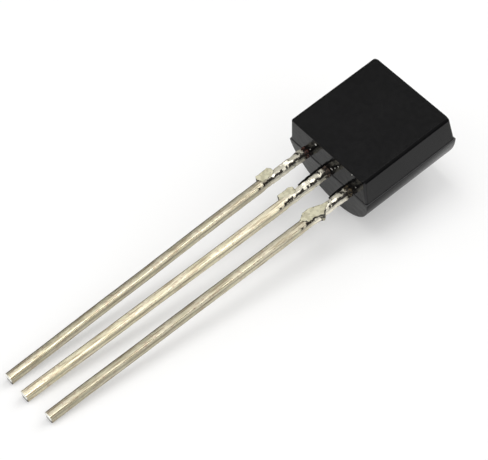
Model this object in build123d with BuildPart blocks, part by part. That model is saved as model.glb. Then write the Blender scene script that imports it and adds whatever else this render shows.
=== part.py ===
from build123d import *
import os
from math import asin, atan2, cos, degrees, hypot, radians, sin, tan

# A small triac in a three-lead moulded package. It lies on a flat surface as it comes to rest,
# on the tips of its leads and on the lower rim of its round back, with the marked flat facing up.
# The package has its own plane: x runs from the first lead to the third, y runs from the leads to
# the top end, and the normal points out of the marked flat. All sizes are in millimetres.

# Moulded body, measured at the parting line unless said otherwise
body_width = 4.52
body_height = 4.55
flat_height = 1.23
back_depth = 2.14
front_draft = 4.5
back_draft = 3.7
parting_step = 0.03
front_corner_radius = 0.1
flat_bevel_width = 0.12
flat_bevel_depth = 0.07

# Gate vestige on the top end and ejector mark on the round back
vestige_width = 0.9
vestige_thickness = 0.22
vestige_drop = 0.16
vestige_reach = 0.05
ejector_diameter = 1.0
ejector_depth = 0.08

# Leads, cut from one plated strip that lies in the parting plane
lead_pitch = 1.27
lead_shift = -0.03
lead_width = 0.38
lead_thickness = 0.43
lead_edge_radius = 0.06
lead_lengths = (14.35, 14.35, 14.2)
lead_tip_offsets = (0.155, -0.12, -0.08)
lead_bend_start = 3.0
lead_bend_radius = 100.0
tip_rounding = 0.05

# Stubs left on the leads where the strip's tie bar was cut away
stub_start = 1.45
stub_length = 0.8
stub_reach = 0.17
stub_end_slope = 0.1
stub_start_slopes = (0.1, 0.1, 0.6)

# Barb that the cut left on the other side of the third lead
barb_start = 1.2
barb_length = 0.35
barb_reach = 0.1

# Inner ends of the leads, from the lead end of the body inwards
seal_depth = 0.3
anchor_start = 0.45
anchor_length = 0.3
anchor_reach = 0.14
paddle_width = 2.2
paddle_height = 2.2
paddle_start = 1.5
paddle_left = 0.28
gate_pad_width = 0.8
gate_pad_start = 0.85
gate_pad_height = 0.4
main_pad_width = 0.85
main_pad_start = 1.7
main_pad_height = 1.0
main_pad_outset = 0.06

# Die, solder and bond wires
die_size = 1.3
die_thickness = 0.22
die_solder_thickness = 0.04
die_solder_margin = 0.08
main_wire_diameter = 0.2
gate_wire_diameter = 0.1
wire_rise = 0.34
wire_bend_ratio = 1.1
bond_foot_height = 0.05
bond_foot_ratio = 1.5
gate_bond_inset = 0.22
main_bond_inset = 0.6

# Rest position: the rounded tips of the longest leads and the lower rim of the back touch the
# surface. The edge of a tip is an arc round a centre that stands in from the end and the faces.
half_thickness = lead_thickness / 2
tip_centre_out = max(lead_lengths) - tip_rounding
tip_centre_down = half_thickness - tip_rounding
rim_setback = back_depth * tan(radians(back_draft))
rest_run = tip_centre_out + rim_setback
rest_rise = back_depth - tip_centre_down
rest_angle = atan2(rest_rise, rest_run) - asin(tip_rounding / hypot(rest_run, rest_rise))
package_height = back_depth * cos(rest_angle) - rim_setback * sin(rest_angle)

# The origin is under the middle of the whole part, between the tips and the rim of the top end
tip_reach = tip_centre_out * cos(rest_angle) + tip_centre_down * sin(rest_angle) + tip_rounding
top_reach = (body_height - rim_setback) * cos(rest_angle) + back_depth * sin(rest_angle)
package_y = (tip_reach - top_reach) / 2

package = Plane(
    origin=(0, package_y, package_height),
    x_dir=(1, 0, 0),
    z_dir=(0, -sin(rest_angle), cos(rest_angle)),
)
along_leads = Axis(package.origin, package.y_dir)
out_of_flat = Axis(package.origin, package.z_dir)


def cross_plane(distance):
    """Plane across the package at a distance inwards from the lead end, facing the leads."""
    origin = package.from_local_coords((0, distance, 0))
    return Plane(origin=origin, x_dir=package.x_dir, z_dir=-package.y_dir)


def upright_plane(start, end, height):
    """Plane through two points of the package, standing on it, with its x from start to end."""
    origin = package.from_local_coords((start[0], start[1], height))
    far = package.from_local_coords((end[0], end[1], height))
    x_dir = (far - origin).normalized()
    return Plane(origin=origin, x_dir=x_dir, z_dir=x_dir.cross(package.z_dir))


# Leads
lead_x = [lead_shift + lead_pitch * position for position in (-1, 0, 1)]
lead_names = ["terminal_2_lead", "gate_lead", "terminal_1_lead"]

# Bonding ends inside the body, as corners in the package plane
paddle_corner = (lead_x[0] - lead_width / 2 - paddle_left, paddle_start)
gate_pad_corner = (lead_x[1] - gate_pad_width / 2, gate_pad_start)
main_pad_corner = (lead_x[2] + lead_width / 2 + main_pad_outset - main_pad_width, main_pad_start)
pads = [
    (paddle_corner, paddle_width, paddle_height),
    (gate_pad_corner, gate_pad_width, gate_pad_height),
    (main_pad_corner, main_pad_width, main_pad_height),
]

leads = []
for index in range(3):
    x = lead_x[index]
    side = x - lead_width / 2
    corner, pad_width, pad_height = pads[index]
    tip = (x + lead_tip_offsets[index], -lead_lengths[index])
    bend = (x, -lead_bend_start)

    with BuildPart() as lead:
        # Run outside the body, with its edges rounded by plating
        with BuildLine(package) as run:
            FilletPolyline((x, seal_depth), bend, tip, radius=lead_bend_radius)
        with BuildSketch(cross_plane(seal_depth)):
            with Locations((x, 0)):
                RectangleRounded(lead_width, lead_thickness, lead_edge_radius)
        sweep(path=run.wire())

        # Cut tip, its edges rounded by the shear and the plating
        tip_face = lead.faces().sort_by(along_leads)[0]
        fillet(tip_face.edges(), radius=tip_rounding)

        # Stub of the tie bar on the side that the cut left proud
        slope_start = -stub_start + stub_start_slopes[index]
        slope_end = -stub_start - stub_length
        with BuildSketch(package):
            with BuildLine():
                Polyline(
                    (x, slope_start),
                    (side, slope_start),
                    (side - stub_reach, -stub_start),
                    (side - stub_reach, slope_end + stub_end_slope),
                    (side, slope_end),
                    (x, slope_end),
                    close=True,
                )
            make_face()
        extrude(amount=half_thickness, both=True)

        # Barb on the other side, left by a slanting cut
        if index == 2:
            other_side = x + lead_width / 2
            with BuildSketch(package):
                with BuildLine():
                    Polyline(
                        (x, -barb_start),
                        (other_side, -barb_start),
                        (other_side + barb_reach, -barb_start - barb_length / 2),
                        (other_side, -barb_start - barb_length),
                        (x, -barb_start - barb_length),
                        close=True,
                    )
                make_face()
            extrude(amount=half_thickness, both=True)

        # Inner end: a neck with two anchor ears, and the bonding end
        with BuildSketch(package):
            with Locations((x, seal_depth)):
                Rectangle(
                    lead_width,
                    corner[1] + pad_height - seal_depth,
                    align=(Align.CENTER, Align.MIN),
                )
            with Locations((x, anchor_start)):
                Rectangle(
                    lead_width + 2 * anchor_reach,
                    anchor_length,
                    align=(Align.CENTER, Align.MIN),
                )
            with Locations(corner):
                Rectangle(pad_width, pad_height, align=(Align.MIN, Align.MIN))
        extrude(amount=half_thickness, both=True)

    lead.part.label = lead_names[index]
    leads.append(lead)

terminal_2_lead, gate_lead, terminal_1_lead = leads

# Die on the paddle of the first lead, with the solder that holds it
die_centre = (paddle_corner[0] + paddle_width / 2, paddle_corner[1] + paddle_height / 2)
die_top = half_thickness + die_solder_thickness + die_thickness

with BuildPart() as die_attach_solder:
    with BuildSketch(package.offset(half_thickness)):
        with Locations(die_centre):
            Rectangle(die_size + 2 * die_solder_margin, die_size + 2 * die_solder_margin)
    extrude(amount=die_solder_thickness)

with BuildPart() as triac_die:
    with BuildSketch(package.offset(half_thickness + die_solder_thickness)):
        with Locations(die_centre):
            Rectangle(die_size, die_size)
    extrude(amount=die_thickness)

# Bond wires, each from a pad on the die to the bonding end of its lead
gate_bond = (
    die_centre[0] + die_size / 2 - gate_bond_inset,
    die_centre[1] - die_size / 2 + gate_bond_inset,
)
main_bond = (die_centre[0] + die_size / 2 - main_bond_inset, die_centre[1])
gate_landing = (lead_x[1], gate_pad_corner[1] + gate_pad_height / 2)
main_landing = (main_pad_corner[0] + main_pad_width / 2, main_pad_corner[1] + main_pad_height / 2)
wire_routes = [
    ("gate_bond_wire", gate_wire_diameter, gate_bond, gate_landing),
    ("terminal_1_bond_wire", main_wire_diameter, main_bond, main_landing),
]

wires = []
for name, diameter, bond, landing in wire_routes:
    standing = upright_plane(bond, landing, die_top)
    span = ((landing[0] - bond[0]) ** 2 + (landing[1] - bond[1]) ** 2) ** 0.5
    die_foot = Plane(standing.origin, x_dir=package.x_dir, z_dir=package.z_dir)
    lead_foot_origin = package.from_local_coords((landing[0], landing[1], half_thickness))
    lead_foot = Plane(lead_foot_origin, x_dir=package.x_dir, z_dir=package.z_dir)
    foot_radius = bond_foot_ratio * diameter / 2

    with BuildPart() as wire:
        with BuildLine(standing) as loop:
            FilletPolyline(
                (0, 0),
                (0, wire_rise),
                (span, wire_rise),
                (span, half_thickness - die_top),
                radius=wire_bend_ratio * diameter,
            )
        with BuildSketch(die_foot):
            Circle(diameter / 2)
        sweep(path=loop.wire())
        with BuildSketch(die_foot, lead_foot):
            Circle(foot_radius)
        extrude(amount=bond_foot_height)

    wire.part.label = name
    wires.append(wire)

gate_bond_wire, terminal_1_bond_wire = wires

# Moulded body: round back half, flat front half, and the room that the inner pieces fill
with BuildPart() as body:
    with BuildSketch(cross_plane(0)):
        with BuildLine():
            ThreePointArc((-body_width / 2, 0), (0, -back_depth), (body_width / 2, 0))
            Line((body_width / 2, 0), (-body_width / 2, 0))
        make_face()
    extrude(amount=-body_height)
    end_faces = body.faces().sort_by(along_leads)
    draft([end_faces[0], end_faces[-1]], neutral_plane=package, angle=-back_draft)

    # Front half, a little smaller than the back half all round
    with BuildSketch(package):
        with Locations((0, body_height / 2)):
            Rectangle(body_width - 2 * parting_step, body_height - 2 * parting_step)
    extrude(amount=flat_height, taper=front_draft)
    marked_flat = body.faces().sort_by(out_of_flat)[-1]
    chamfer(
        marked_flat.edges().filter_by(along_leads),
        length=flat_bevel_width,
        length2=flat_bevel_depth,
        reference=marked_flat,
    )
    corners = body.edges().filter_by(lambda edge: abs(edge.tangent_at(0.5).dot(package.z_dir)) > 0.9)
    fillet(corners, radius=front_corner_radius)

    # Vestige of the resin gate, below the parting line on the top end
    with BuildSketch(cross_plane(body_height + vestige_reach)):
        with Locations((0, -vestige_drop)):
            Rectangle(vestige_width, vestige_thickness)
    extrude(amount=2 * vestige_reach)

    # Round mark of the ejector pin in the crown of the back
    with BuildSketch(package.offset(-back_depth)):
        with Locations((0, body_height / 2)):
            Circle(ejector_diameter / 2)
    extrude(amount=ejector_depth, mode=Mode.SUBTRACT)

    for inner in [*leads, die_attach_solder, triac_die, *wires]:
        add(inner.part, mode=Mode.SUBTRACT)

body.part.label = "body"
die_attach_solder.part.label = "die_attach_solder"
triac_die.part.label = "triac_die"

os.makedirs("parts", exist_ok=True)
for piece in [body, *leads, triac_die, die_attach_solder, *wires]:
    export_step(piece.part, f"parts/{piece.part.label}.step")
    print(piece.part.label, round(piece.part.volume, 4), "mm3")

print("rest angle", round(degrees(rest_angle), 3), "degrees")
print("package origin y", round(package_y, 4), "z", round(package_height, 4))
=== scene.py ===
import bpy
import bmesh
import random
from math import atan, cos, pi, radians, sin, tan
from mathutils import Matrix, Quaternion, Vector, noise


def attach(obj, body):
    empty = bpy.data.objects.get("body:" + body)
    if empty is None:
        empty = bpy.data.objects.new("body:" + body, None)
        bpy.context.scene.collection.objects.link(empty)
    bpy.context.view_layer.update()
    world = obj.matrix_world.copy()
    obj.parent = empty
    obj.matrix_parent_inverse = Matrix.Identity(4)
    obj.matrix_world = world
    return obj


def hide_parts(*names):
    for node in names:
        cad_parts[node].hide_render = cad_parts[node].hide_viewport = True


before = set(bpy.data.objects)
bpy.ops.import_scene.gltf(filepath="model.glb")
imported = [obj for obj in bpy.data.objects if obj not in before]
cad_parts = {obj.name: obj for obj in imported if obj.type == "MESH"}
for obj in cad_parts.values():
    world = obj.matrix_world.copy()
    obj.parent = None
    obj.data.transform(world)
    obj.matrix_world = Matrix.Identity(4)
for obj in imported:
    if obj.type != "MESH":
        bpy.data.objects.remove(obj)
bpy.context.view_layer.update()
rng = random.Random(7)

# The package plane of the part: x along the row of leads, y from the leads to the top end,
# z out of the flat. Sizes here are in millimetres, and become metres in make_mesh and soften.
REST_ANGLE = radians(7.592)
PACKAGE_AT = Vector((0.0, 4.7954, 2.103))
MM = 0.001

BODY_WIDTH = 4.52
BODY_HEIGHT = 4.55
FLAT_HEIGHT = 1.23
BACK_DEPTH = 2.14
FRONT_DRAFT = tan(radians(4.5))
BACK_DRAFT = tan(radians(3.7))
CORNER_RADIUS = 0.1
PARTING_STEP = 0.03
SKIRT_DEPTH = 0.06
BEVEL_WIDTH = 0.12
BEVEL_DEPTH = 0.07
FRONT_ROUNDING = 0.02
BACK_ROUNDING = 0.012
BACK_SEGMENTS = 96
ROUNDED_ANGLE = radians(22)
EJECTOR_RADIUS = 0.5
EJECTOR_DEPTH = 0.08
EJECTOR_SEGMENTS = 64
CUTTER_REACH = 0.2
VESTIGE_WIDTH = 0.9
VESTIGE_THICKNESS = 0.22
VESTIGE_REACH = 0.05
VESTIGE_MIDDLE = -0.16

LEAD_WIDTH = 0.38
LEAD_THICKNESS = 0.43
LEAD_X = (-1.30, -0.03, 1.24)
LEAD_LENGTH = (14.35, 14.35, 14.2)
LEAD_SWAY = (0.155, -0.12, -0.08)
LEAD_NODE = ("terminal_2_lead", "gate_lead", "terminal_1_lead")
RING_STEP = 0.045
TIP_ROUND = 0.04
TIP_RINGS = 4
EAR_HALF_WIDTH = 0.33
EAR_START = 0.45
EAR_END = 0.75

# Distances out of the body at which a lead starts, its lumpy neck is full and ends, and its
# bend starts
LEAD_INSIDE = -0.3
NECK_FULL = 0.15
NECK_END = 2.5
BEND_START = 3.0

# Length over which the neck fades, and the rounding of a lead's edges and of those of its tip
NECK_FADE = 0.6
EDGE_RADIUS = 0.07
TIP_EDGE_RADIUS = 0.06

# Ripples of the plating, and the room that they and the tip leave inside the lead's outline
WIDTH_RIPPLE = 0.002
SIDE_RIPPLE = 0.004
HEIGHT_RIPPLE = 0.003
RIPPLE_ROOM = 0.014
TIP_ROOM = 0.012

# Slivers of resin: rounding, steps along the lead, and how deep they start in the lead
FLASH_ROUNDING = 0.01
FLASH_STEPS = 14
FLASH_ROOT = 0.03

to_row = Matrix.Translation(PACKAGE_AT) @ Matrix.Rotation(REST_ANGLE, 4, "X")
to_row = Matrix.Scale(MM, 4) @ to_row


# Meshes

def clamp(value):
    """The value held between 0 and 1."""
    return max(0.0, min(1.0, value))


def rounded_section(width, thickness, radius, corner_segments=6):
    """Points of a rounded rectangle, the corners one after another."""
    points = []
    for quadrant in range(4):
        sx = 1 if quadrant in (0, 3) else -1
        sz = 1 if quadrant in (0, 1) else -1
        cx, cz = sx * (width / 2 - radius), sz * (thickness / 2 - radius)
        for i in range(corner_segments + 1):
            a = quadrant * pi / 2 + i * pi / 2 / corner_segments
            points.append((cx + radius * cos(a), cz + radius * sin(a)))
    return points


def make_mesh(name, bm, lead=None):
    """An object from a bmesh in package millimetres, turned into the row frame.

    With the index of a lead, its points also keep their coordinates along that lead.
    """
    bmesh.ops.recalc_face_normals(bm, faces=bm.faces)
    mesh = bpy.data.meshes.new(name)
    bm.to_mesh(mesh)
    bm.free()
    if lead is not None:
        layer = mesh.attributes.new("lead_mm", "FLOAT_VECTOR", "POINT")
        values = [c for v in mesh.vertices for c in lead_coordinates(v.co, lead)]
        layer.data.foreach_set("vector", values)
    mesh.transform(to_row)
    mesh.update()
    obj = bpy.data.objects.new(name, mesh)
    bpy.context.scene.collection.objects.link(obj)
    return obj


def shade_evenly(obj):
    """Smooth shading that leaves the flat faces flat."""
    weighted = obj.modifiers.new("even_shading", "WEIGHTED_NORMAL")
    weighted.mode = "FACE_AREA"
    weighted.weight = 100
    for polygon in obj.data.polygons:
        polygon.use_smooth = True


def soften(obj, width, segments=3):
    """Rounded edges with even shading on the flat faces."""
    bevel = obj.modifiers.new("rounding", "BEVEL")
    bevel.width = width * MM
    bevel.segments = segments
    bevel.limit_method = "ANGLE"
    bevel.angle_limit = ROUNDED_ANGLE
    shade_evenly(obj)


def solid_from_rings(bm, rings):
    """A closed skin over rings of points, each ring with the same number of points."""
    rows = [[bm.verts.new(p) for p in ring] for ring in rings]
    count = len(rows[0])
    for a, b in zip(rows, rows[1:]):
        for i in range(count):
            j = (i + 1) % count
            bm.faces.new((a[i], a[j], b[j], b[i]))
    bm.faces.new(list(reversed(rows[0])))
    bm.faces.new(rows[-1])
    return rows


# Body

def build_front():
    """Front half of the moulding: the flat on top, a skirt under the parting line."""
    bm = bmesh.new()
    rings = []
    for z in (-SKIRT_DEPTH, 0.0, FLAT_HEIGHT - BEVEL_DEPTH, FLAT_HEIGHT):
        inset = PARTING_STEP + max(z, -z) * FRONT_DRAFT
        half = BODY_WIDTH / 2 - inset
        if z == FLAT_HEIGHT:
            half -= BEVEL_WIDTH
        outline = rounded_section(2 * half, BODY_HEIGHT - 2 * inset, CORNER_RADIUS)
        rings.append([(x, BODY_HEIGHT / 2 + y, z) for x, y in outline])
    solid_from_rings(bm, rings)
    return make_mesh("body_front", bm)


# Rings of the gate vestige: how far each stands out of the top end, and its size
VESTIGE_RINGS = ((-0.1, 1.0), (0.02, 0.98), (0.045, 0.93))


def build_vestige():
    """Broken stub of the resin gate on the top end."""
    bm = bmesh.new()
    rings = []
    for reach, size in VESTIGE_RINGS:
        y = BODY_HEIGHT + reach
        ring = []
        for x, z in rounded_section(VESTIGE_WIDTH * size, VESTIGE_THICKNESS * size, 0.03, 2):
            ragged = 0.012 * noise.noise(Vector((x * 9, z * 30, y)))
            ring.append((x, min(y + ragged, BODY_HEIGHT + VESTIGE_REACH), VESTIGE_MIDDLE + z))
        rings.append(ring)
    solid_from_rings(bm, rings)
    return make_mesh("gate_vestige", bm)


def press_ejector_mark(obj):
    """Shallow round recess in the crown of the back, made after the edges are rounded."""
    bm = bmesh.new()
    rings = []
    for z in (-BACK_DEPTH + EJECTOR_DEPTH, -BACK_DEPTH - CUTTER_REACH):
        ring = []
        for i in range(EJECTOR_SEGMENTS):
            a = 2 * pi * i / EJECTOR_SEGMENTS
            ring.append((EJECTOR_RADIUS * cos(a), BODY_HEIGHT / 2 + EJECTOR_RADIUS * sin(a), z))
        rings.append(ring)
    solid_from_rings(bm, rings)
    cutter = make_mesh("ejector_cutter", bm)
    cut = obj.modifiers.new("ejector_mark", "BOOLEAN")
    cut.operation = "DIFFERENCE"
    cut.solver = "EXACT"
    cut.object = cutter
    pressed = obj.evaluated_get(bpy.context.evaluated_depsgraph_get())
    mesh = bpy.data.meshes.new_from_object(pressed)
    obj.modifiers.clear()
    obj.data = mesh
    bpy.data.objects.remove(cutter)
    shade_evenly(obj)


def build_back():
    """Round back half of the moulding, a part of a cylinder with drafted ends."""
    bm = bmesh.new()
    half = BODY_WIDTH / 2
    radius = (half ** 2 + BACK_DEPTH ** 2) / (2 * BACK_DEPTH)
    centre = radius - BACK_DEPTH
    start = atan(centre / half)
    profile = []
    for i in range(BACK_SEGMENTS + 1):
        a = -pi / 2 + (pi / 2 - start) * (2 * i / BACK_SEGMENTS - 1)
        profile.append((radius * cos(a), min(0.0, centre + radius * sin(a))))
    lead_end = [(x, -z * BACK_DRAFT, z) for x, z in profile]
    top_end = [(x, BODY_HEIGHT + z * BACK_DRAFT, z) for x, z in profile]
    solid_from_rings(bm, [lead_end, top_end])
    return make_mesh("body_back", bm)


# Leads

def lead_centre(index, out):
    """Lateral place of a lead's centre line at a distance out of the body."""
    if out <= BEND_START:
        return LEAD_X[index]
    share = (out - BEND_START) / (LEAD_LENGTH[index] - BEND_START)
    return LEAD_X[index] + share * LEAD_SWAY[index]


def lead_coordinates(point, index):
    """Coordinates that follow a lead: across, out of the body, and up."""
    out = -point[1]
    return point[0] - lead_centre(index, out), out, point[2]


def build_lead(index):
    """Plated strip, a little wavy, with a lumpy neck by the body and a rounded sheared tip."""
    bm = bmesh.new()
    length = LEAD_LENGTH[index]
    count = int((length - LEAD_INSIDE) / RING_STEP)
    run = length - TIP_ROUND - LEAD_INSIDE
    phases = [rng.uniform(0, 6.28) for _ in range(6)]
    width_phase, side_phase, height_phase = phases[0], phases[2], phases[4]
    rings = []
    for i in range(count + 1):
        out = LEAD_INSIDE + i * run / count
        neck = clamp(out / NECK_FULL) * clamp((NECK_END - out) / NECK_FADE)
        width = LEAD_WIDTH - RIPPLE_ROOM + WIDTH_RIPPLE * sin(out * 5.1 + width_phase)
        thick = LEAD_THICKNESS - RIPPLE_ROOM
        radius = EDGE_RADIUS + 0.03 * neck
        x = lead_centre(index, out) + SIDE_RIPPLE * sin(out * 1.3 + side_phase) * clamp(out)
        z = HEIGHT_RIPPLE * sin(out * 0.9 + height_phase)
        ring = []
        for u, w in rounded_section(width, thick, radius):
            lump = noise.noise(Vector((u * 3 + index * 9, out * 3.2, w * 3)))
            lump += 0.8 * noise.noise(Vector((u * 8, out * 8 + index * 5, w * 8)))
            swell = 1 + (0.10 * neck + 0.012) * lump - 0.02 * neck
            ring.append((x + u * swell, -out, z + w * swell))
        rings.append(ring)
    x = lead_centre(index, length)
    for i in range(1, TIP_RINGS + 1):
        a = i * pi / 2 / TIP_RINGS
        pull = TIP_ROUND * (1 - cos(a))
        out = length - TIP_ROUND + TIP_ROUND * sin(a)
        width = LEAD_WIDTH - TIP_ROOM - 2 * pull
        thick = LEAD_THICKNESS - TIP_ROOM - 2 * pull
        section = rounded_section(width, thick, TIP_EDGE_RADIUS - 0.5 * pull)
        rings.append([(x + u, -out, w) for u, w in section])
    solid_from_rings(bm, rings)
    add_inner_plate(bm, index)
    obj = make_mesh(LEAD_NODE[index] + "_metal", bm, index)
    for polygon in obj.data.polygons:
        polygon.use_smooth = len(polygon.vertices) == 4
    return obj


BOX_FACES = (
    (0, 2, 3, 1), (4, 5, 7, 6), (0, 1, 5, 4), (2, 6, 7, 3), (0, 4, 6, 2), (1, 3, 7, 5),
)


def add_box(bm, low, high):
    """A box between two opposite corners."""
    corners = [Vector((x, y, z)) for z in (low[2], high[2]) for y in (low[1], high[1])
               for x in (low[0], high[0])]
    v = [bm.verts.new(c) for c in corners]
    for face in BOX_FACES:
        bm.faces.new([v[i] for i in face])


# Paddle and bonding ends of the leads, as opposite corners in the package plane
PLATES = (
    ((-1.77, 1.5), (0.43, 3.7)),
    ((-0.43, 0.85), (0.37, 1.25)),
    ((0.64, 1.7), (1.49, 2.7)),
)


def add_inner_plate(bm, index):
    """The part of a lead that the moulding hides: neck, anchor ears and bonding end."""
    x = LEAD_X[index]
    half = LEAD_THICKNESS / 2
    (x0, y0), (x1, y1) = PLATES[index]
    add_box(bm, (x - LEAD_WIDTH / 2, -LEAD_INSIDE, -half), (x + LEAD_WIDTH / 2, y1, half))
    add_box(bm, (x - EAR_HALF_WIDTH, EAR_START, -half), (x + EAR_HALF_WIDTH, EAR_END, half))
    add_box(bm, (x0, y0, -half), (x1, y1, half))


# Stubs, slivers and flecks

# Tops of the cut tie-bar stubs, as outlines in the package plane
STUB_OUTLINES = (
    ((-1.66, -2.20), (-1.645, -1.95), (-1.66, -1.62), (-1.57, -1.53), (-1.36, -1.50),
     (-1.25, -1.64), (-1.235, -1.92), (-1.26, -2.17), (-1.38, -2.21), (-1.50, -2.29)),
    ((-0.39, -2.16), (-0.375, -1.90), (-0.39, -1.60), (-0.29, -1.47), (-0.06, -1.49),
     (0.02, -1.63), (0.005, -1.85), (0.0, -2.10), (-0.10, -2.16), (-0.22, -2.26)),
    ((1.20, -0.88), (1.31, -1.16), (1.52, -1.42), (1.44, -1.55), (1.37, -1.80), (1.38, -2.08),
     (1.26, -2.20), (1.12, -2.36), (1.02, -2.20), (0.90, -2.02), (0.88, -1.72), (1.05, -1.32)),
)

# Levels of a stub from its underside to its top, in halves of its thickness, and their sizes
STUB_LEVELS = ((-1, 0.95), (-0.4, 0.99), (0.7, 1.0), (1, 0.97), (1, 0.72))


def build_stub(index):
    """Stub of the tie bar on one lead, with its sheared top."""
    bm = bmesh.new()
    half = LEAD_THICKNESS / 2 - 0.002
    outline = STUB_OUTLINES[index]
    cx = sum(x for x, y in outline) / len(outline)
    cy = sum(y for x, y in outline) / len(outline)
    fine = []
    for (x0, y0), (x1, y1) in zip(outline, outline[1:] + outline[:1]):
        for i in range(4):
            jag = 0.022 * noise.noise(Vector((x0 * 7 + i * 3.1, y0 * 7, index)))
            fine.append((x0 + (x1 - x0) * i / 4 + jag, y0 + (y1 - y0) * i / 4 - jag))
    rings = []
    for level, size in STUB_LEVELS:
        z = half * level
        rings.append([(cx + (x - cx) * size, cy + (y - cy) * size, z) for x, y in fine])
    rows = solid_from_rings(bm, rings)
    rim = [0.0 if vertex in rows[-1] else 1.0 for vertex in bm.verts]
    obj = make_mesh(LEAD_NODE[index].replace("_lead", "") + "_tie_stub", bm)
    obj.data.attributes.new("rim", "FLOAT", "POINT").data.foreach_set("value", rim)
    return obj


def build_flash(index, reach, out_end):
    """Sliver of moulding resin that ran out along one side of a lead."""
    bm = bmesh.new()
    side = LEAD_X[index] - LEAD_WIDTH / 2
    rings = []
    for i in range(FLASH_STEPS + 1):
        out = -0.02 + (out_end + 0.02) * i / FLASH_STEPS
        wide = reach * (0.75 + 0.25 * rng.random()) * (1 - 0.55 * (i / FLASH_STEPS) ** 3)
        rings.append([
            (side + FLASH_ROOT, -out, 0.02),
            (side - wide, -out, 0.08),
            (side - wide, -out, 0.15),
            (side + FLASH_ROOT, -out, 0.18),
        ])
    solid_from_rings(bm, rings)
    obj = make_mesh("flash_by_" + LEAD_NODE[index], bm)
    soften(obj, FLASH_ROUNDING, 2)
    return obj


# Pale flecks on the lead end of the body: x and height over the parting line of each,
# then its own width and height
FLECKS = (
    (-0.67, 1.01, 0.10, 0.09),
    (0.22, 0.36, 0.13, 0.05),
    (0.63, 0.88, 0.07, 0.06),
    (1.42, 1.12, 0.05, 0.05),
    (-1.02, 0.42, 0.05, 0.04),
    (0.44, 0.62, 0.05, 0.03),
    (1.62, 0.55, 0.06, 0.04),
)
FLECK_CORNERS = 7

# Rings of a fleck from its foot in the resin to its top: how deep each lies in the lead end,
# less than zero where it stands proud, and its size
FLECK_RINGS = ((0.01, 1.0), (-0.006, 0.9), (-0.012, 0.5))


def build_flecks():
    """Pale flecks that stand a little proud of the lead end."""
    bm = bmesh.new()
    for x, z, width, height in FLECKS:
        face = PARTING_STEP + z * FRONT_DRAFT
        rings = []
        for lift, size in FLECK_RINGS:
            ring = []
            for i in range(FLECK_CORNERS):
                a = 2 * pi * i / FLECK_CORNERS
                ragged = size * (0.5 + 0.22 * noise.noise(Vector((x * 9 + i, z * 9, 1.0))))
                side, rise = width * ragged * cos(a), height * ragged * sin(a)
                ring.append((x + side, face + lift, z + rise))
            rings.append(ring)
        solid_from_rings(bm, rings)
    return make_mesh("pale_flecks", bm)


# Materials

class Nodes:
    """Short ways to add and join shader nodes in one material."""

    def __init__(self, name):
        self.material = bpy.data.materials.new(name)
        self.material.use_nodes = True
        self.tree = self.material.node_tree
        self.shader = self.tree.nodes["Principled BSDF"]

    def add(self, kind, inputs=None, **settings):
        node = self.tree.nodes.new(kind)
        for key, value in settings.items():
            setattr(node, key, value)
        for key, value in (inputs or {}).items():
            self.feed(node.inputs[key], value)
        return node

    def feed(self, socket, value):
        if hasattr(value, "is_output"):
            self.tree.links.new(value, socket)
        else:
            socket.default_value = value

    def package(self):
        """Object coordinates turned into package millimetres."""
        mapping = self.add("ShaderNodeMapping", {
            "Vector": self.add("ShaderNodeTexCoord").outputs["Object"],
            "Location": to_row.inverted().translation,
            "Rotation": (-REST_ANGLE, 0, 0),
            "Scale": (1 / MM,) * 3,
        })
        return mapping.outputs["Vector"]

    def noise(self, vector, scale, detail=4, roughness=0.55, stretch=None):
        if stretch:
            mapping = self.add("ShaderNodeMapping", {"Vector": vector, "Scale": stretch})
            vector = mapping.outputs["Vector"]
        inputs = {"Vector": vector, "Scale": scale, "Detail": detail, "Roughness": roughness}
        return self.add("ShaderNodeTexNoise", inputs).outputs["Fac"]

    def math(self, operation, *values):
        node = self.add("ShaderNodeMath", operation=operation)
        for socket, value in zip(node.inputs, values):
            self.feed(socket, value)
        return node.outputs[0]

    def times(self, first, *others):
        """Product of two or more values."""
        for other in others:
            first = self.math("MULTIPLY", first, other)
        return first

    def fade(self, mask, at_none, at_full):
        """From one number to another as a mask goes from 0 to 1."""
        return self.span(mask, 0.0, 1.0, at_none, at_full)

    def span(self, value, low, high, to_low=0.0, to_high=1.0, smooth=True):
        """From one number to another as a value goes from low to high."""
        node = self.add("ShaderNodeMapRange", clamp=True)
        node.interpolation_type = "SMOOTHSTEP" if smooth else "LINEAR"
        for key, item in zip(("Value", "From Min", "From Max", "To Min", "To Max"),
                             (value, low, high, to_low, to_high)):
            self.feed(node.inputs[key], item)
        return node.outputs["Result"]

    def mix(self, factor, a, b, blend="MIX"):
        """Two colours mixed, through the colour sockets of the node."""
        node = self.add("ShaderNodeMix", data_type="RGBA", blend_type=blend)
        self.feed(node.inputs["Factor"], factor)
        self.feed(node.inputs[6], a)
        self.feed(node.inputs[7], b)
        return node.outputs[2]

    def bump(self, height, strength, distance, normal=None):
        inputs = {"Height": height, "Strength": strength, "Distance": distance * MM}
        node = self.add("ShaderNodeBump", inputs)
        if normal:
            self.feed(node.inputs["Normal"], normal)
        return node.outputs["Normal"]

    def set(self, **values):
        """Values and links for sockets of the main shader, named in small letters."""
        for key, value in values.items():
            self.feed(self.shader.inputs[key.replace("_", " ").title()], value)
        return self.material


def rgb(r, g, b):
    return (r, g, b, 1.0)


# Low, as the resin mirrors little
RESIN_IOR = 1.28


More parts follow.
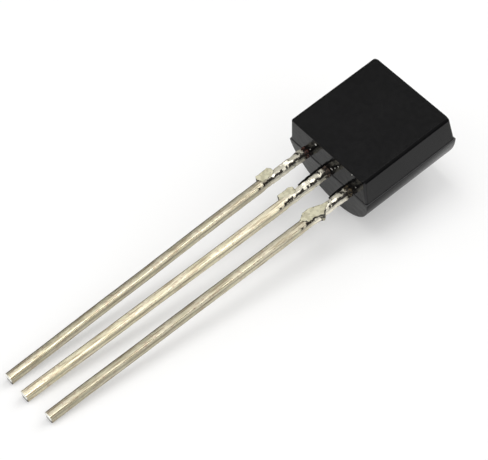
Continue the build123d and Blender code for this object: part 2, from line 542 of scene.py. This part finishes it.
def epoxy():
    """Black moulding resin, with masks that follow the faces of the package."""
    n = Nodes("moulded_epoxy")
    at = n.package()
    parts = n.add("ShaderNodeSeparateXYZ", {"Vector": at})
    across, along, height = parts.outputs["X"], parts.outputs["Y"], parts.outputs["Z"]
    off_axis = n.math("ABSOLUTE", across)
    off_parting = n.math("ABSOLUTE", height)
    grain = n.noise(at, 22, 6, 0.6)
    cloud = n.span(n.noise(at, 1.1, 3), 0.35, 0.7)
    colour = n.mix(cloud, rgb(0.0035, 0.0035, 0.0038), rgb(0.005, 0.0049, 0.0052))
    colour = n.mix(n.span(grain, 0.62, 0.75), colour, rgb(0.009, 0.009, 0.0095))

    # The end that the leads come out of is glossier, with uneven patches
    end = n.span(along, 0.17, 0.12)
    rough = n.span(n.noise(at, 5.0, 6), 0.3, 0.7, 0.2, 0.27)
    rough = n.times(rough, n.fade(end, 1.0, 0.5))
    normal = n.bump(grain, n.fade(end, 0.35, 0.15), 0.006)
    normal = n.bump(n.noise(at, 3.0, 3), n.fade(end, 0.0, 0.6), 0.02, normal)

    # The bevels along the two long edges of the flat are rougher
    bevel_foot = FLAT_HEIGHT - BEVEL_DEPTH
    flat_half = BODY_WIDTH / 2 - PARTING_STEP - FLAT_HEIGHT * FRONT_DRAFT - BEVEL_WIDTH
    edge = n.times(
        n.span(off_axis, flat_half - 0.02, flat_half + 0.02),
        n.span(height, bevel_foot - 0.02, bevel_foot + 0.02),
    )
    rough = n.math("ADD", rough, n.times(edge, 0.3))

    # Distances in from the two drafted sides and from the drafted lead end
    slope = n.times(off_parting, FRONT_DRAFT)
    to_side = n.math("SUBTRACT", BODY_WIDTH / 2 - PARTING_STEP, off_axis)
    to_side = n.math("SUBTRACT", to_side, slope)
    to_end = n.math("SUBTRACT", n.math("SUBTRACT", along, PARTING_STEP), slope)

    # Less is mirrored by the bevels, the lead end, the round back and the upright sides
    flank = n.times(n.span(to_side, 0.06, 0.03), n.span(height, 0.0, 0.05))
    end_loss = n.span(height, 0.02, -0.02, 0.13, 0.33)
    round_back = n.times(n.span(height, 0.0, -0.05), n.math("SUBTRACT", 1.0, end))
    shine = n.fade(edge, 0.5, 0.12)
    for mask, loss in ((end, end_loss), (round_back, 0.3), (flank, 0.14)):
        shine = n.math("SUBTRACT", shine, n.times(mask, loss))

    # The upright corners of the lead end and the rim at the parting line are painted lighter,
    # painted light against the shade of the corners and of the groove at the parting line
    painted_light_corners = n.times(
        n.span(to_side, 0.09, 0.04), n.span(to_end, 0.09, 0.04), n.span(height, -0.01, 0.01)
    )
    colour = n.mix(painted_light_corners, colour, rgb(0.030, 0.030, 0.032))
    rim = n.span(off_parting, 0.014, 0.008)
    colour = n.mix(rim, colour, rgb(0.075, 0.075, 0.077))
    n.feed(n.shader.inputs["Specular IOR Level"], shine)
    n.shader.inputs["IOR"].default_value = RESIN_IOR
    return n.set(base_color=colour, roughness=rough, normal=normal)


# Looks that differ from lead to lead: the stain by the body and how far it reaches, the painted
# shade beyond the neck, the painted shading of the top face at its left and right edges, its
# tone towards the tip, the tone of the dark line on the left edge, the gain of the painted
# highlight on the right edge, and the roughness
LEAD_LOOKS = (
    {"stain": rgb(0.11, 0.035, 0.025), "reach": 0.16, "shade": 0.71, "left": 0.62,
     "right": 1.00, "far": 0.90, "rim": 0.50, "highlight_gain": 1.32, "roughness": 0.33},
    {"stain": rgb(0.12, 0.08, 0.06), "reach": 0.20, "shade": 0.87, "left": 0.88,
     "right": 1.05, "far": 0.94, "rim": 0.75, "highlight_gain": 1.24, "roughness": 0.45},
    {"stain": rgb(0.10, 0.075, 0.04), "reach": 0.22, "shade": 0.72, "left": 0.74,
     "right": 0.92, "far": 0.84, "rim": 0.60, "highlight_gain": 1.05, "roughness": 0.37},
)


def lead_metal(index):
    """Plating of one lead, in the coordinates that follow the lead."""
    look = LEAD_LOOKS[index]
    n = Nodes("tinned_lead_%d" % (index + 1))
    at = n.add("ShaderNodeAttribute", attribute_name="lead_mm").outputs["Vector"]
    parts = n.add("ShaderNodeSeparateXYZ", {"Vector": at})
    across, out, up = parts.outputs["X"], parts.outputs["Y"], parts.outputs["Z"]
    neck = n.span(out, 2.3, 1.5)
    streak = n.noise(at, 14, 6, 0.6, (1.0, 0.05, 1.0))
    patch = n.noise(at, 2.2, 5, 0.6, (1.0, 0.45, 1.0))
    grain = n.noise(at, 13, 3, 0.7, (1.0, 0.45, 1.0))
    ragged = n.span(n.noise(at, 7, 5, 0.65), 0.3, 0.7, -1.0, 1.0, smooth=False)

    # Plated metal with duller patches, lengthwise streaks and grains, and a paler neck
    silver = n.mix(n.span(patch, 0.42, 0.58), rgb(0.94, 0.87, 0.67), rgb(0.88, 0.83, 0.61))
    silver = n.mix(n.span(streak, 0.46, 0.68), silver, rgb(0.46, 0.38, 0.25))
    silver = n.mix(n.span(grain, 0.52, 0.66, 0.0, 0.8), silver, rgb(0.62, 0.48, 0.36))
    silver = n.mix(neck, silver, rgb(0.98, 0.93, 0.77))

    # Painted shading across the top face, lighter to its right, a painted shade line below its
    # edge, and darker towards the tip
    tone = n.span(across, -0.17, 0.12, look["left"], look["right"], smooth=False)
    tone = n.math("MULTIPLY_ADD", n.math("SUBTRACT", tone, 1.0), n.span(up, 0.10, 0.17), 1.0)
    painted_shade_under_edge = n.times(n.span(up, 0.14, 0.10), n.span(up, -0.02, 0.06))
    # Painted shade beyond the neck sets how bright each lead looks
    tone = n.times(
        tone,
        n.fade(painted_shade_under_edge, 1.0, 0.66),
        n.span(out, 4.0, 8.5, 1.0, look["far"]),
        n.fade(neck, look["shade"], 1.0),
    )

    # Dark line on the left edge, a painted highlight along the right edge, and painted shade on
    # the underside
    left_rim = n.math("ADD", across, n.times(ragged, 0.02))
    left_rim = n.times(
        n.span(left_rim, -0.12, -0.15), n.span(up, 0.02, 0.10), n.fade(neck, 1.0, 0.0)
    )
    painted_highlight = n.times(
        n.span(across, 0.09, 0.13), n.span(up, 0.11, 0.16), n.span(patch, 0.40, 0.55, 0.4, 1.0)
    )
    tone = n.times(
        tone,
        n.fade(left_rim, 1.0, look["rim"]),
        n.fade(painted_highlight, 1.0, look["highlight_gain"]),
        n.span(up, -0.11, -0.19, 1.0, 0.75),
    )
    grey = n.add("ShaderNodeCombineColor", {"Red": tone, "Green": tone, "Blue": tone})
    silver = n.mix(1.0, silver, grey.outputs["Color"], "MULTIPLY")

    # Dark line along the right edge of the neck, a painted dark reflection of its rounded edge,
    # with dark spots by the body
    line = n.math("ADD", across, n.times(ragged, 0.06))
    ragged_out = n.math("ADD", out, n.times(ragged, 0.3))
    dark_line_and_spots = n.times(
        n.span(line, 0.075, 0.10),
        n.span(line, 0.21, 0.185),
        n.span(n.noise(at, 3.4, 3), 0.40, 0.47, 0.15, 1.0),
        n.span(up, 0.08, 0.13),
        n.span(ragged_out, 2.6, 2.3),
    )
    spots = n.times(n.span(n.noise(at, 4.5, 5, 0.7), 0.54, 0.58), n.span(out, 1.1, 0.6))
    dark_line_and_spots = n.math("MAXIMUM", dark_line_and_spots, spots)
    silver = n.mix(dark_line_and_spots, silver, rgb(0.035, 0.03, 0.025))

    # Sheared end of the tip, pale above and darker below, painted shade for the reflection of its
    # contact shadow, and the stain where the lead enters
    length = LEAD_LENGTH[index]
    end = n.mix(n.span(up, -0.08, 0.10), rgb(0.12, 0.11, 0.10), rgb(0.93, 0.93, 0.88))
    silver = n.mix(n.span(out, length - 0.05, length - 0.02), silver, end)
    near = n.math("ADD", out, n.times(ragged, 0.22))
    stain = n.mix(n.span(ragged, -0.5, 0.1), rgb(0.012, 0.010, 0.008), look["stain"])
    colour = n.mix(n.span(near, look["reach"], look["reach"] * 0.5), silver, stain)

    # Smoother towards the body and on the painted highlight, rough on the dark line and spots
    rough = n.span(streak, 0.3, 0.7, look["roughness"] * 0.85, look["roughness"] * 1.25)
    rough = n.times(rough, n.span(out, 2.4, 1.5, 1.0, 0.6), n.fade(painted_highlight, 1.0, 0.6))
    rough = n.math("ADD", rough, n.times(dark_line_and_spots, 0.4))

    # Drawn lines, small dents, and the lumps of the neck
    lines = n.noise(at, 40, 4, 0.6, (1.0, 0.02, 1.0))
    dents = n.noise(at, 9, 3, 0.5, (1.0, 0.35, 1.0))
    lumps = n.noise(at, 3.2, 1.5, 0.4, (1.0, 0.7, 1.0))
    normal = n.bump(lines, 0.35, 0.004)
    normal = n.bump(dents, n.fade(neck, 0.4, 0.15), 0.010, normal)
    normal = n.bump(lumps, n.times(neck, 0.7), 0.10, normal)
    metallic = n.fade(neck, 1.0, 0.42)
    return n.set(base_color=colour, roughness=rough, metallic=metallic, normal=normal)


def stub_metal():
    """Cut metal of the stubs, darker and broken towards the rim of the cut."""
    n = Nodes("cut_stub")
    at = n.package()
    rim = n.add("ShaderNodeAttribute", attribute_name="rim").outputs["Fac"]
    speck = n.noise(at, 16, 4, 0.6)
    top = n.mix(n.span(n.noise(at, 6, 4), 0.4, 0.6), rgb(0.50, 0.47, 0.33), rgb(0.66, 0.63, 0.47))
    top = n.mix(n.span(speck, 0.64, 0.70), top, rgb(0.20, 0.18, 0.12))
    broken = n.math("ADD", rim, n.span(n.noise(at, 9, 3), 0.3, 0.7, -0.45, 0.3, smooth=False))
    colour = n.mix(n.span(broken, 0.70, 0.85), top, rgb(0.05, 0.045, 0.035))
    normal = n.bump(speck, 0.4, 0.01)
    return n.set(base_color=colour, roughness=0.5, metallic=0.35, normal=normal)


def plain_metal(name, colour, rough, metallic=1.0):
    """Metal or silicon that is a little uneven in tone."""
    n = Nodes(name)
    at = n.package()
    tone = n.mix(n.noise(at, 12, 4), rgb(*[c * 0.85 for c in colour]), rgb(*colour))
    return n.set(base_color=tone, roughness=rough, metallic=metallic)


# How far the floor is lifted towards white for the camera and for mirrors
FLOOR_LIFT = 0.32


def floor_paint():
    """Pale matt paper, which the camera and mirrors see a little nearer to white."""
    n = Nodes("floor")
    at = n.add("ShaderNodeTexCoord").outputs["Object"]
    tone = n.mix(n.noise(at, 60, 3), rgb(0.94, 0.94, 0.94), rgb(0.96, 0.96, 0.96))
    n.shader.inputs["Specular IOR Level"].default_value = 0.0
    n.set(base_color=tone, roughness=0.9)
    white = n.add("ShaderNodeEmission", {"Color": rgb(1.0, 1.0, 1.0), "Strength": 1.0})
    path = n.add("ShaderNodeLightPath")
    seen = n.math("MAXIMUM", path.outputs["Is Camera Ray"], path.outputs["Is Glossy Ray"])
    seen = n.math("MAXIMUM", seen, path.outputs["Is Transmission Ray"])
    lifted = n.add("ShaderNodeMixShader", {"Fac": n.times(seen, FLOOR_LIFT)})
    n.feed(lifted.inputs[1], n.shader.outputs["BSDF"])
    n.feed(lifted.inputs[2], white.outputs["Emission"])
    n.feed(n.tree.nodes["Material Output"].inputs["Surface"], lifted.outputs["Shader"])
    return n.material


def paint(obj, material):
    obj.data.materials.clear()
    obj.data.materials.append(material)


# Visible pieces of the part
black = epoxy()
front = build_front()
soften(front, FRONT_ROUNDING)
back = build_back()
soften(back, BACK_ROUNDING, 2)
press_ejector_mark(back)
vestige = build_vestige()
for piece in (front, back, vestige):
    paint(piece, black)
    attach(piece, "root")
    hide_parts("body")

cut = stub_metal()
for index, node in enumerate(LEAD_NODE):
    lead = build_lead(index)
    paint(lead, lead_metal(index))
    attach(lead, "root")
    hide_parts(node)
    stub = build_stub(index)
    paint(stub, cut)
    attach(stub, "root")
    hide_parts(node)

# Leads with a sliver of resin, its width and the place where it ends
FLASHES = ((1, 0.11, 1.25), (2, 0.10, 0.8))
for index, reach, out_end in FLASHES:
    flash = build_flash(index, reach, out_end)
    paint(flash, black)
    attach(flash, "root")
    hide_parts("body")

flecks = build_flecks()
paint(flecks, plain_metal("fleck", (0.85, 0.84, 0.78), 0.45, 0.2))
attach(flecks, "root")

# Pieces inside the moulding, which keep the shapes of the solids
inner_looks = {
    "triac_die": plain_metal("silicon", (0.16, 0.17, 0.20), 0.2, 0.6),
    "die_attach_solder": plain_metal("solder", (0.60, 0.60, 0.58), 0.4),
    "gate_bond_wire": plain_metal("gate_wire", (0.85, 0.85, 0.86), 0.3),
    "terminal_1_bond_wire": plain_metal("terminal_wire", (0.85, 0.85, 0.86), 0.3),
}
for node, material in inner_looks.items():
    paint(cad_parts[node], material)


# Floor
bpy.ops.mesh.primitive_plane_add(size=1.2, location=(0, 0, 0))
floor = bpy.context.object
floor.name = "floor"
paint(floor, floor_paint())

# Light from all around
world = bpy.data.worlds.new("studio")
bpy.context.scene.world = world
world.use_nodes = True
sky = world.node_tree
background = sky.nodes["Background"]
background.inputs["Color"].default_value = rgb(1.0, 0.997, 0.99)

# A soft white tent with bright parts behind, above and beside the part. It stays dim where the
# flat mirrors it towards the camera. Each light has a direction, the cosines of the angle from it
# at which it starts and is full, and a strength.
TENT_FILL = 0.06
WIDE = (0.8, 0.97)
NARROW = (0.93, 0.985)
TENT_LIGHTS = (
    ((0.1, 0.75, 0.65), WIDE, 2.0),
    ((0.0, 0.96, 0.28), WIDE, 1.0),
    ((0.05, -0.42, 0.9), WIDE, 0.7),
    ((-0.489, 0.192, 0.851), WIDE, 0.3),
    ((0.86, 0.12, 0.48), WIDE, 1.15),
    ((-0.68, -0.68, 0.28), WIDE, 0.9),
    ((0.0, -0.96, 0.28), WIDE, 0.3),
    ((-0.2, -0.1, 0.974), NARROW, 3.8),
)


def join(operation, first, second, kind="ShaderNodeMath"):
    """Shader node that works on two values or vectors of the tent."""
    node = sky.nodes.new(kind)
    node.operation = operation
    for socket, value in zip(node.inputs, (first, second)):
        if hasattr(value, "is_output"):
            sky.links.new(value, socket)
        else:
            socket.default_value = value
    return node.outputs["Value"]


way = sky.nodes.new("ShaderNodeTexCoord").outputs["Generated"]
strength = TENT_FILL
for direction, (outer, inner), level in TENT_LIGHTS:
    facing = join("DOT_PRODUCT", way, Vector(direction).normalized(), "ShaderNodeVectorMath")
    lobe = sky.nodes.new("ShaderNodeMapRange")
    lobe.interpolation_type = "SMOOTHSTEP"
    for key, value in zip(("From Min", "From Max", "To Max"), (outer, inner, level)):
        lobe.inputs[key].default_value = value
    sky.links.new(facing, lobe.inputs["Value"])
    strength = join("ADD", strength, lobe.outputs["Result"])
sky.links.new(strength, background.inputs["Strength"])

# Camera: its place in metres, the way it looks, its roll, and its focal length in pixels of a
# frame of the given width
CAMERA_AT = (0.033744, -0.024661, 0.054380)
CAMERA_AIM = Vector((-0.50078, 0.37631, -0.77950))
CAMERA_ROLL = radians(-2.445)
FOCAL_PIXELS = 1800
FRAME_PIXELS = 488
SENSOR_WIDTH = 36

camera_data = bpy.data.cameras.new("camera")
camera_data.sensor_width = SENSOR_WIDTH
camera_data.lens = SENSOR_WIDTH * FOCAL_PIXELS / FRAME_PIXELS
camera_data.clip_start = 0.005
camera = bpy.data.objects.new("camera", camera_data)
camera.location = CAMERA_AT
camera.rotation_mode = "QUATERNION"
looking = CAMERA_AIM.to_track_quat("-Z", "Y")
camera.rotation_quaternion = looking @ Quaternion((0, 0, 1), CAMERA_ROLL)
bpy.context.scene.collection.objects.link(camera)
bpy.context.scene.camera = camera
bpy.context.scene.view_settings.view_transform = "Standard"
